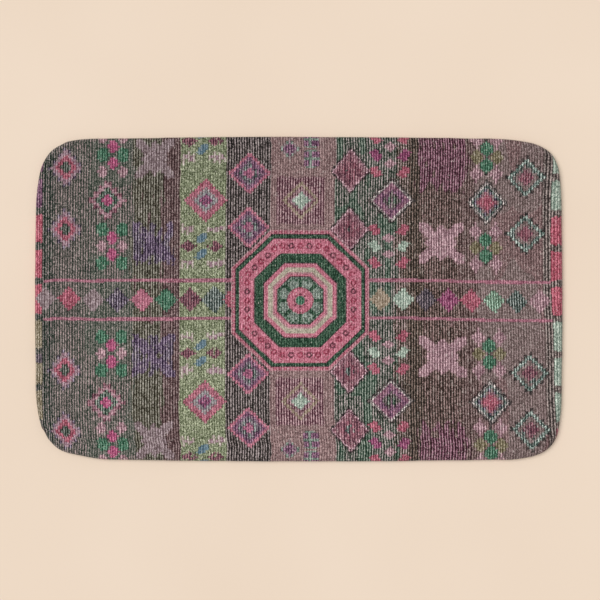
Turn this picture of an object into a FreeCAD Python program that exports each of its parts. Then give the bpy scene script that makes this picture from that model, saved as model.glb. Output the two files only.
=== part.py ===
import FreeCAD, Part
import math
import os

import Sketcher

# Memory-foam bath mat, 34 x 21 inch size. All sizes in millimetres.
# Frame: origin at the centre of the footprint, on the plane that the grip
# dots stand on. +X runs along the mat's length, +Y across it, +Z up.
#
# The mat is a sewn envelope. A printed microfibre cover wraps over a foam
# slab, rolls round its edge and turns under it. A thin backing cloth closes
# the underside. Cover and backing meet in a seam that runs right round the
# underside, a little way in from the edge.

DIMENSIONS = [
    # outline, measured at the widest point of the rolled edge
    ("mat_length", 864.0),
    ("mat_width", 533.0),
    ("end_radius", 8200.0),         # the short sides bow out very slightly
    ("side_radius", 16400.0),       # and so do the long ones
    ("ease_radius", 295.0),         # easing arc between side and corner
    ("ease_angle", 11.5),           # degrees that each easing arc turns
    ("corner_radius", 59.0),
    # heights
    ("dot_height", 1.0),
    ("backing_thickness", 0.8),
    ("foam_thickness", 9.2),
    ("cover_thickness", 2.0),       # base cloth and plush pile together
    ("hem_thickness", 1.2),         # the pile is flattened where it turns under
    # rolled edge
    ("roll_top_radius", 7.2),
    ("roll_bottom_radius", 4.0),
    ("foam_top_radius", 5.2),
    ("foam_bottom_radius", 2.8),
    # seam on the underside
    ("seam_inset", 14.0),           # outer edge to the edge of the backing
    ("thread_width", 0.8),
    ("thread_height", 0.8),
    ("closing_length", 180.0),      # gap that the mat is turned out through
    ("closing_box", 40.0),
    # grip dots
    ("dot_pitch", 40.0),
    ("dot_root_radius", 4.0),
    ("dot_tip_radius", 3.3),
    ("dot_margin", 6.0),            # least cloth between a dot and the seam
    # blank care label, folded double and caught in the seam
    ("label_width", 26.0),
    ("label_length", 38.0),
    ("label_thickness", 0.4),
    ("label_centre_x", 260.0),
    ("label_corner_radius", 1.5),
]

doc = FreeCAD.newDocument("bath_mat")

sheet = doc.addObject("Spreadsheet::Sheet", "Dims")
for row, (alias, value) in enumerate(DIMENSIONS, start=1):
    sheet.set("A%d" % row, alias)
    sheet.set("B%d" % row, str(value))
    sheet.setAlias("B%d" % row, alias)
doc.recompute()


def dim(alias):
    """A driving dimension, read from the sheet."""
    return float(sheet.get(alias))


def origin_plane(body, role):
    for feature in body.Origin.OriginFeatures:
        if feature.Role == role:
            return feature
    raise RuntimeError("no plane " + role)


# ---------------------------------------------------------------- outline

def quarter_arcs(inset):
    """Centres, radii and end angles of the five tangent arcs of one quarter
    of the outline, from the middle of the +X end to the middle of the +Y
    side, drawn inset millimetres inside the edge."""
    half_l, half_w = dim("mat_length") / 2, dim("mat_width") / 2
    r_end, r_side = dim("end_radius"), dim("side_radius")
    r_ease, r_corner = dim("ease_radius"), dim("corner_radius")
    turn = math.radians(dim("ease_angle"))

    def centres(a1, a3):
        a2, a4 = a1 + turn, a3 + turn
        c1 = (half_l - r_end, 0.0)
        c2 = (c1[0] + (r_end - r_ease) * math.cos(a1),
              c1[1] + (r_end - r_ease) * math.sin(a1))
        c3 = (c2[0] + (r_ease - r_corner) * math.cos(a2),
              c2[1] + (r_ease - r_corner) * math.sin(a2))
        c4 = (c3[0] - (r_ease - r_corner) * math.cos(a3),
              c3[1] - (r_ease - r_corner) * math.sin(a3))
        c5 = (c4[0] - (r_side - r_ease) * math.cos(a4),
              c4[1] - (r_side - r_ease) * math.sin(a4))
        return c1, c2, c3, c4, c5, a2, a4

    # the chain closes when the fifth centre lies where the long side needs it
    a1, a3 = 0.02, 1.35
    for _ in range(60):
        *_, c5, _a2, _a4 = centres(a1, a3)
        f = (c5[0], c5[1] - (half_w - r_side))
        if abs(f[0]) + abs(f[1]) < 1e-10:
            break
        e = 1e-7
        g1 = centres(a1 + e, a3)[4]
        g3 = centres(a1, a3 + e)[4]
        j11, j21 = (g1[0] - c5[0]) / e, (g1[1] - c5[1]) / e
        j12, j22 = (g3[0] - c5[0]) / e, (g3[1] - c5[1]) / e
        det = j11 * j22 - j12 * j21
        a1 -= (f[0] * j22 - f[1] * j12) / det
        a3 -= (f[1] * j11 - f[0] * j21) / det
    c1, c2, c3, c4, c5, a2, a4 = centres(a1, a3)
    return [
        (c1, r_end - inset, 0.0, a1),
        (c2, r_ease - inset, a1, a2),
        (c3, r_corner - inset, a2, a3),
        (c4, r_ease - inset, a3, a4),
        (c5, r_side - inset, a4, math.pi / 2),
    ]


def add_outline(sketch, inset, inset_text, first):
    """Draws the whole outline into a sketch: four bowed sides and four
    corners of three arcs each, all tangent, every one of them bound to the
    sheet. first is the index of the sketch's next geometry."""
    q = quarter_arcs(inset)
    side_a, ease_a, corner, ease_b, side_b = q
    half = math.pi

    def arc(centre, radius, a, b):
        circle = Part.Circle(FreeCAD.Vector(centre[0], centre[1], 0),
                             FreeCAD.Vector(0, 0, 1), radius)
        return Part.ArcOfCircle(circle, a, b)

    arcs = []

    def corner_arcs(sx, sy):
        """The three arcs of one corner, in anticlockwise order."""
        out = []
        for centre, radius, a, b in (ease_a, corner, ease_b):
            c = (sx * centre[0], sy * centre[1])
            if sx > 0 and sy > 0:
                p = (a, b)
            elif sx < 0 and sy > 0:
                p = (half - b, half - a)
            elif sx < 0 and sy < 0:
                p = (half + a, half + b)
            else:
                p = (-b, -a)
            out.append((c, radius, p[0], p[1]))
        return out if sx * sy > 0 else out[::-1]

    a_end, a_side = side_a[3], side_b[2]
    c_end, r_end = side_a[0], side_a[1]
    c_side, r_side = side_b[0], side_b[1]
    arcs.append((c_end, r_end, -a_end, a_end))
    arcs += corner_arcs(1, 1)
    arcs.append((c_side, r_side, a_side, half - a_side))
    arcs += corner_arcs(-1, 1)
    arcs.append(((-c_end[0], 0.0), r_end, half - a_end, half + a_end))
    arcs += corner_arcs(-1, -1)
    arcs.append(((0.0, -c_side[1]), r_side, half + a_side, 2 * half - a_side))
    arcs += corner_arcs(1, -1)
    sketch.addGeometry([arc(*v) for v in arcs], False)

    n = len(arcs)
    cons = []
    for i in range(n):
        j = (i + 1) % n
        cons.append(Sketcher.Constraint("Tangent", first + i, 2, first + j, 1))
    sketch.addConstraint(cons)

    names = ["end_radius", "ease_radius", "corner_radius", "ease_radius",
             "side_radius", "ease_radius", "corner_radius", "ease_radius"] * 2
    for i, name in enumerate(names):
        k = sketch.addConstraint(
            Sketcher.Constraint("Radius", first + i, arcs[i][1]))
        sketch.setExpression("Constraints[%d]" % k,
                             "Dims.%s - (%s)" % (name, inset_text))
        if name == "ease_radius":
            k = sketch.addConstraint(
                Sketcher.Constraint("Angle", first + i,
                                    math.radians(dim("ease_angle"))))
            sketch.setExpression("Constraints[%d]" % k, "Dims.ease_angle")

    # the four side arcs: centres on the axes, at a set distance
    for i, axis, kind, text, sign in (
            (0, -1, "DistanceX", "Dims.end_radius - Dims.mat_length / 2", -1),
            (4, -2, "DistanceY", "Dims.side_radius - Dims.mat_width / 2", -1),
            (8, -1, "DistanceX", "Dims.end_radius - Dims.mat_length / 2", 1),
            (12, -2, "DistanceY", "Dims.side_radius - Dims.mat_width / 2", 1)):
        sketch.addConstraint(
            Sketcher.Constraint("PointOnObject", first + i, 3, axis))
        c = arcs[i][0]
        value = abs(c[0]) if kind == "DistanceX" else abs(c[1])
        if sign < 0:
            # the centre lies on the negative side: measured from it to the origin
            k = sketch.addConstraint(
                Sketcher.Constraint(kind, first + i, 3, -1, 1, value))
        else:
            k = sketch.addConstraint(
                Sketcher.Constraint(kind, -1, 1, first + i, 3, value))
        sketch.setExpression("Constraints[%d]" % k, text)
    return n


def new_body(name, label=None):
    body = doc.addObject("PartDesign::Body", name)
    body.Label = label or name
    return body


def outline_sketch(body, name, insets, height_text):
    """A sketch on the body's own XY plane, raised to height_text, with one
    outline for each (inset value, inset expression)."""
    sketch = body.newObject("Sketcher::SketchObject", name)
    sketch.AttachmentSupport = [(origin_plane(body, "XY_Plane"), "")]
    sketch.MapMode = "FlatFace"
    sketch.setExpression("AttachmentOffset.Base.z", height_text)
    first = 0
    for inset, text in insets:
        first += add_outline(sketch, inset, text, first)
    doc.recompute()
    return sketch


def pad(body, name, sketch, length_text):
    feature = body.newObject("PartDesign::Pad", name)
    feature.Profile = sketch
    feature.setExpression("Length", length_text)
    sketch.Visibility = False
    doc.recompute()
    return feature


def rim_edges(shape, z):
    """Names of the edges that lie flat at height z."""
    found = []
    for i, edge in enumerate(shape.Edges, start=1):
        box = edge.BoundBox
        if abs(box.ZMin - z) < 1e-4 and abs(box.ZMax - z) < 1e-4:
            found.append("Edge%d" % i)
    return found


def fillet(body, name, base, z, radius_text):
    feature = body.newObject("PartDesign::Fillet", name)
    feature.Base = (base, rim_edges(base.Shape, z))
    feature.setExpression("Radius", radius_text)
    doc.recompute()
    return feature


Z_BACK = "Dims.dot_height"
Z_FOAM = "(Dims.dot_height + Dims.backing_thickness)"
Z_HEM = "(%s - Dims.hem_thickness)" % Z_FOAM
z_back = dim("dot_height")
z_foam = z_back + dim("backing_thickness")
z_hem = z_foam - dim("hem_thickness")
z_foam_top = z_foam + dim("foam_thickness")
z_top = z_foam_top + dim("cover_thickness")

# -------------------------------------------------------------- foam core
# One slab, its outline the cover's inside, its edge eased where the cover
# rolls round it.
foam = new_body("foam_core")
s = outline_sketch(foam, "foam_outline",
                   [(dim("cover_thickness"), "Dims.cover_thickness")], Z_FOAM)
p = pad(foam, "foam_slab", s, "Dims.foam_thickness")
f = fillet(foam, "foam_top_round", p, z_foam_top, "Dims.foam_top_radius")
f = fillet(foam, "foam_bottom_round", f, z_foam, "Dims.foam_bottom_radius")

# -------------------------------------------------------------- top cover
# The full pillow shape, less the foam and less the window in its underside
# that the backing cloth closes. The window reaches out to the thread.
blank = new_body("cover_blank")
s = outline_sketch(blank, "cover_outline", [(0.0, "0")], Z_HEM)
p = pad(blank, "cover_block", s,
        "Dims.foam_thickness + Dims.cover_thickness + Dims.hem_thickness")
f = fillet(blank, "cover_top_round", p, z_top, "Dims.roll_top_radius")
f = fillet(blank, "cover_bottom_round", f, z_hem, "Dims.roll_bottom_radius")

window = new_body("cover_window")
s = outline_sketch(window, "window_outline",
                   [(dim("seam_inset") - dim("thread_width"),
                     "Dims.seam_inset - Dims.thread_width")], Z_HEM + " - 1")
p = pad(window, "window_block", s, "Dims.hem_thickness + 1")

core_copy = doc.addObject("Part::Cut", "cover_less_foam")
core_copy.Base = blank
core_copy.Tool = foam
cover = doc.addObject("Part::Cut", "top_cover")
cover.Label = "top_cover"
cover.Base = core_copy
cover.Tool = window
doc.recompute()

# ---------------------------------------------------------- backing cloth
backing = new_body("backing_cloth")
s = outline_sketch(backing, "backing_outline",
                   [(dim("seam_inset"), "Dims.seam_inset")], Z_BACK)
p = pad(backing, "backing_sheet", s, "Dims.backing_thickness")

# ------------------------------------------------------------------- seam
# The thread line that joins cover and backing lies between their two edges.
# It is drawn as one run. A box across the middle of the -Y side divides it
# into the seam that was sewn inside out, and the one that closes the gap.
ring = new_body("seam_ring")
s = outline_sketch(ring, "seam_outline",
                   [(dim("seam_inset") - dim("thread_width"),
                     "Dims.seam_inset - Dims.thread_width"),
                    (dim("seam_inset"), "Dims.seam_inset")],
                   Z_FOAM + " - Dims.thread_height")
p = pad(ring, "seam_run", s, "Dims.thread_height")

gap = doc.addObject("Part::Box", "closing_gap")
gap.setExpression("Length", "Dims.closing_length")
gap.setExpression("Width", "Dims.closing_box")
gap.setExpression("Height", "Dims.closing_box")
gap.setExpression("Placement.Base.x", "-Dims.closing_length / 2")
gap.setExpression("Placement.Base.y",
                  "-Dims.mat_width / 2 + Dims.seam_inset - Dims.closing_box / 2")
gap.setExpression("Placement.Base.z", "-Dims.closing_box / 2")

perimeter = doc.addObject("Part::Cut", "perimeter_stitching")
perimeter.Label = "perimeter_stitching"
perimeter.Base = ring
perimeter.Tool = gap

closing = doc.addObject("Part::Common", "closing_stitching")
closing.Label = "closing_stitching"
closing.Base = ring
closing.Tool = gap
doc.recompute()

# -------------------------------------------------------------- grip dots
# Flat-tipped dots printed on the backing cloth in a square grid, one at the
# centre. The grid stops short of the seam, so that the corners lose some.
# Each dot is a cone frustum with its wide end on the cloth.
backing_face = backing.Shape.copy()
outline_wire = None
for face in backing.Shape.Faces:
    if abs(face.BoundBox.ZMax - z_back) < 1e-4 and \
            abs(face.BoundBox.ZMin - z_back) < 1e-4:
        outline_wire = face.OuterWire
sheet_face = Part.Face(outline_wire)

pitch = dim("dot_pitch")
clear = dim("dot_root_radius") + dim("dot_margin")
solids = []
columns = int(dim("mat_length") / 2 / pitch)
rows = int(dim("mat_width") / 2 / pitch)
for i in range(-columns, columns + 1):
    for j in range(-rows, rows + 1):
        x, y = i * pitch, j * pitch
        point = FreeCAD.Vector(x, y, z_back)
        if not sheet_face.isInside(point, 1e-6, True):
            continue
        if Part.Vertex(point).distToShape(outline_wire)[0] < clear:
            continue
        solids.append(Part.makeCone(
            dim("dot_tip_radius"), dim("dot_root_radius"), dim("dot_height"),
            FreeCAD.Vector(x, y, 0.0), FreeCAD.Vector(0, 0, 1)))
dots = doc.addObject("Part::Feature", "grip_dots")
dots.Label = "grip_dots"
dots.Shape = Part.makeCompound(solids)
dots.Placement = FreeCAD.Placement()
print("grip dots:", len(solids))

# ------------------------------------------------------------- care label
# A blank strip folded double. Its two ends are caught in the seam of the -Y
# side, and it lies flat on the underside of the backing cloth.
label = new_body("care_label")
s = label.newObject("Sketcher::SketchObject", "label_outline")
s.AttachmentSupport = [(origin_plane(label, "XY_Plane"), "")]
s.MapMode = "FlatFace"
s.setExpression("AttachmentOffset.Base.z",
                Z_BACK + " - Dims.label_thickness")
lw, ll = dim("label_width"), dim("label_length")
cx = dim("label_centre_x")
seam_y = -dim("mat_width") / 2 + dim("seam_inset")
pts = [FreeCAD.Vector(cx - lw / 2, seam_y + 0.6, 0),
       FreeCAD.Vector(cx + lw / 2, seam_y + 0.6, 0),
       FreeCAD.Vector(cx + lw / 2, seam_y + 0.6 + ll, 0),
       FreeCAD.Vector(cx - lw / 2, seam_y + 0.6 + ll, 0)]
s.addGeometry([Part.LineSegment(pts[k], pts[(k + 1) % 4]) for k in range(4)],
              False)
s.addConstraint([Sketcher.Constraint("Coincident", k, 2, (k + 1) % 4, 1)
                 for k in range(4)])
s.addConstraint([Sketcher.Constraint("Horizontal", 0),
                 Sketcher.Constraint("Vertical", 1),
                 Sketcher.Constraint("Horizontal", 2),
                 Sketcher.Constraint("Vertical", 3)])
for con, text in (
        (Sketcher.Constraint("DistanceX", 0, 1, 0, 2, lw), "Dims.label_width"),
        (Sketcher.Constraint("DistanceY", 1, 1, 1, 2, ll), "Dims.label_length"),
        (Sketcher.Constraint("DistanceX", -1, 1, 0, 1, cx - lw / 2),
         "Dims.label_centre_x - Dims.label_width / 2"),
        (Sketcher.Constraint("DistanceY", 0, 1, -1, 1, -(seam_y + 0.6)),
         "Dims.mat_width / 2 - Dims.seam_inset - 0.6")):
    k = s.addConstraint(con)
    s.setExpression("Constraints[%d]" % k, text)
doc.recompute()
p = pad(label, "label_strip", s, "Dims.label_thickness")
corner_edges = []
for i, edge in enumerate(p.Shape.Edges, start=1):
    box = edge.BoundBox
    if box.ZLength > dim("label_thickness") / 2 and box.YMin > seam_y + 5:
        corner_edges.append("Edge%d" % i)
f = label.newObject("PartDesign::Fillet", "label_corners")
f.Base = (p, corner_edges)
f.setExpression("Radius", "Dims.label_corner_radius")
doc.recompute()

# ------------------------------------------------------------ check, write
NODES = ["top_cover", "foam_core", "backing_cloth", "grip_dots",
         "perimeter_stitching", "closing_stitching", "care_label"]

doc.recompute()
for obj in doc.Objects:
    if "Invalid" in obj.State or "Error" in obj.State:
        raise RuntimeError("failed object: %s %s" % (obj.Name, obj.State))
    if obj.isDerivedFrom("Sketcher::SketchObject"):
        left = obj.solve()
        if left != 0:
            raise RuntimeError("sketch %s not solved: %s" % (obj.Name, left))

by_label = {obj.Label: obj for obj in doc.Objects}
for node in NODES:
    shape = by_label[node].Shape
    if shape.isNull() or not shape.isValid() or not shape.Solids:
        raise RuntimeError("bad shape: " + node)
    for solid in shape.Solids:
        if not solid.isClosed() or solid.Volume <= 0:
            raise RuntimeError("open solid: " + node)

# the cuts really cut
if not blank.Shape.Volume - cover.Shape.Volume > foam.Shape.Volume * 0.99:
    raise RuntimeError("the cover is not hollow")
if abs(perimeter.Shape.Volume + closing.Shape.Volume - ring.Shape.Volume) > 0.5:
    raise RuntimeError("the seam does not divide")

os.makedirs("parts", exist_ok=True)
for node in NODES:
    shape = by_label[node].Shape
    box = shape.BoundBox
    print("%-20s solids %3d  vol %10.1f  x %.2f..%.2f  y %.2f..%.2f  z %.2f..%.2f"
          % (node, len(shape.Solids), shape.Volume, box.XMin, box.XMax,
             box.YMin, box.YMax, box.ZMin, box.ZMax))
    shape.exportStep("parts/%s.step" % node)
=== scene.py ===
"""Bath mat: the looks. Metres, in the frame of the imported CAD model.

The mat lies on its grip dots, its long side along X. The printed cover is one
cloth that rolls over the foam's edge and turns under it as a hem; the backing
closes the underside inside that hem. The print is a plain geometric one,
charted in threads of 4.23 mm: bands, lozenges, crosses, dots and an octagon of
nested rings, mirrored about the middle line.
"""

import math

import bpy
import numpy as np
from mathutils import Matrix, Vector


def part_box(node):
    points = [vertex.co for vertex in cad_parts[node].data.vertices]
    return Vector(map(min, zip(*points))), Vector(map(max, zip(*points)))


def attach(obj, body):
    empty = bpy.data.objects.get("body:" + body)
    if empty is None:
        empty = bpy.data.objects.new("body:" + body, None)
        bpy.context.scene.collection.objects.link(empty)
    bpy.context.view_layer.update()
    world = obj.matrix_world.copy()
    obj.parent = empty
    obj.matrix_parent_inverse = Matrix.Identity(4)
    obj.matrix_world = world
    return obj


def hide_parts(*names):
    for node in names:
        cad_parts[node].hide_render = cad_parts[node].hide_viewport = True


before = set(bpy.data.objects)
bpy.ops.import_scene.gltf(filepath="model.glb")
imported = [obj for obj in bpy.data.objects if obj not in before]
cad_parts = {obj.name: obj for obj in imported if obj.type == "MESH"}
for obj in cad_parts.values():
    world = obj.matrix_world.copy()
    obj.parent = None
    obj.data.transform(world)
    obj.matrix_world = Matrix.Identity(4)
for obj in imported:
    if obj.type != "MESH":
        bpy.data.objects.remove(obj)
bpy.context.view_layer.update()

MM = 0.001
THREAD = 4.23          # mm between two threads of the printed weave


# ------------------------------------------------------------------ numbers
def hash01(i, j=0, seed=0):
    i = np.asarray(i, np.int64)
    j = np.asarray(j, np.int64)
    n = (i * 374761393 + j * 668265263 + seed * 1442695041) & 0xFFFFFFFF
    n = ((n ^ (n >> 13)) * 1274126177) & 0xFFFFFFFF
    n = (n ^ (n >> 16)) & 0xFFFFFFFF
    return n / 4294967295.0


def smooth(x, y, sx, sy, seed=0):
    """Value noise from 0 to 1, with cells of sx by sy."""
    u, v = np.asarray(x, float) / sx, np.asarray(y, float) / sy
    i, j = np.floor(u).astype(np.int64), np.floor(v).astype(np.int64)
    fu, fv = u - i, v - j
    fu, fv = fu * fu * (3 - 2 * fu), fv * fv * (3 - 2 * fv)
    a, b = hash01(i, j, seed), hash01(i + 1, j, seed)
    c, d = hash01(i, j + 1, seed), hash01(i + 1, j + 1, seed)
    return (a * (1 - fu) + b * fu) * (1 - fv) + (c * (1 - fu) + d * fu) * fv


# ---------------------------------------------------------------- the print
# yarn: light colour, dark colour, and how streaked its threads are, from 0
# (evenly speckled) to 1 (light and dark threads side by side)
YARN = {
    "edge":      ((109, 105, 101), (36, 50, 42), 0.78),
    "taupe":     ((133, 121, 118), (66, 70, 63), 0.66),
    "taupegrn":  ((123, 119, 113), (61, 70, 61), 0.53),
    "taupewarm": ((131, 119, 116), (66, 67, 62), 0.66),
    "olive":     ((122, 118, 106), (61, 57, 45), 0.86),
    "maroon":    ((126, 104, 104), (70, 50, 51), 0.72),
    "sage":      ((163, 169, 140), (90, 97, 72), 0.24),
    "char":      ((121, 110, 109), (45, 39, 37), 0.84),
    "mauve":     ((163, 135, 134), (111, 87, 87), 0.45),
    "panel":     ((158, 124, 130), (92, 58, 68), 0.90),
    "green":     ((134, 130, 125), (50, 62, 52), 0.82),
    "greenfull": ((110, 124, 112), (42, 65, 52), 0.82),
    "bark":      ((140, 121, 117), (64, 55, 46), 0.85),
    "brown":     ((126, 104, 100), (60, 46, 41), 0.80),
    "plum":      ((143, 102, 117), (73, 40, 52), 0.83),
    "dusk":      ((147, 127, 126), (98, 82, 80), 0.50),
    "duskred":   ((146, 119, 119), (96, 74, 74), 0.45),
    "stripe":    ((140, 126, 122), (74, 64, 62), 0.85),
    "line":      ((186, 126, 142), (128, 78, 93), 0.35),
    "crimson":   ((187, 109, 126), (128, 63, 77), 0.52),
    "pink":      ((198, 128, 146), (146, 85, 102), 0.42),
    "rose":      ((210, 133, 151), (162, 90, 106), 0.28),
    "rosepale":  ((200, 148, 156), (152, 104, 113), 0.28),
    "pine":      ((75, 102, 83), (26, 54, 39), 0.36),
    "cream":     ((193, 182, 165), (151, 143, 127), 0.22),
    "greyteal":  ((150, 162, 152), (90, 102, 94), 0.35),
    "purple":    ((148, 108, 132), (84, 54, 76), 0.60),
    "indigo":    ((126, 109, 131), (62, 47, 70), 0.78),
    "edging":    ((196, 156, 166), (146, 110, 120), 0.32),
    "ink":       ((126, 114, 130), (54, 44, 60), 0.85),
    "lilac":     ((174, 146, 156), (125, 95, 106), 0.42),
    "lilacgrey": ((160, 142, 146), (110, 93, 96), 0.62),
    "magenta":   ((166, 98, 130), (108, 48, 80), 0.62),
    "hotpink":   ((192, 104, 138), (136, 60, 92), 0.50),
    "emerald":   ((94, 134, 112), (42, 80, 61), 0.62),
    "blush":     ((192, 156, 164), (126, 95, 103), 0.66),
    "teal":      ((146, 158, 150), (88, 98, 93), 0.50),
    "tealdark":  ((122, 132, 128), (48, 62, 58), 0.85),
    "mint":      ((187, 200, 186), (120, 136, 124), 0.50),
    "mintgreen": ((150, 178, 158), (82, 106, 88), 0.65),
    "tan":       ((174, 157, 139), (124, 108, 91), 0.45),
    "khaki":     ((160, 149, 130), (100, 90, 70), 0.50),
    "moss":      ((144, 134, 110), (90, 82, 60), 0.65),
    "navy":      ((116, 104, 112), (50, 44, 54), 0.80),
    "blue":      ((114, 136, 148), (72, 96, 110), 0.50),
    "white":     ((200, 186, 180), (150, 136, 128), 0.60),
    "wine":      ((140, 96, 106), (84, 50, 62), 0.75),
    "brick":     ((160, 106, 118), (106, 58, 70), 0.55),
    "dark":      ((80, 70, 68), (36, 32, 33), 0.60),
    "umber":     ((110, 94, 86), (48, 40, 33), 0.80),
    "brownred":  ((132, 110, 108), (74, 56, 54), 0.70),
    "berry":     ((184, 114, 140), (126, 74, 97), 0.50),
    "coral":     ((190, 122, 137), (137, 80, 94), 0.42),
    "rosewood":  ((168, 124, 134), (106, 68, 78), 0.60),
    "heather":   ((162, 118, 135), (104, 68, 85), 0.60),
    "pale":      ((202, 190, 187), (70, 62, 64), 0.30),
    "rosedot":   ((208, 170, 180), (90, 58, 68), 0.30),
    "mintdot":   ((178, 192, 184), (64, 84, 78), 0.35),
    "pinegrey":  ((104, 108, 102), (42, 54, 45), 0.80),
    "ruby":      ((202, 114, 130), (142, 66, 80), 0.50),
    "greyblue":  ((166, 168, 168), (110, 110, 113), 0.45),
    "slate":     ((136, 124, 133), (76, 65, 76), 0.60),
    "garnet":    ((164, 72, 92), (112, 42, 58), 0.25),
    "spot":      ((110, 60, 72), (74, 38, 48), 0.20),
}
NAMES = list(YARN)


def to_linear(c):
    c = np.asarray(c, float) / 255.0
    return np.where(c <= 0.04045, c / 12.92, ((c + 0.055) / 1.055) ** 2.4)


LIGHT = np.array([YARN[k][0] for k in NAMES]) / 255.0      # mixed as they
DARK = np.array([YARN[k][1] for k in NAMES]) / 255.0       # look, then made linear
STREAK = np.array([YARN[k][2] for k in NAMES])


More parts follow.
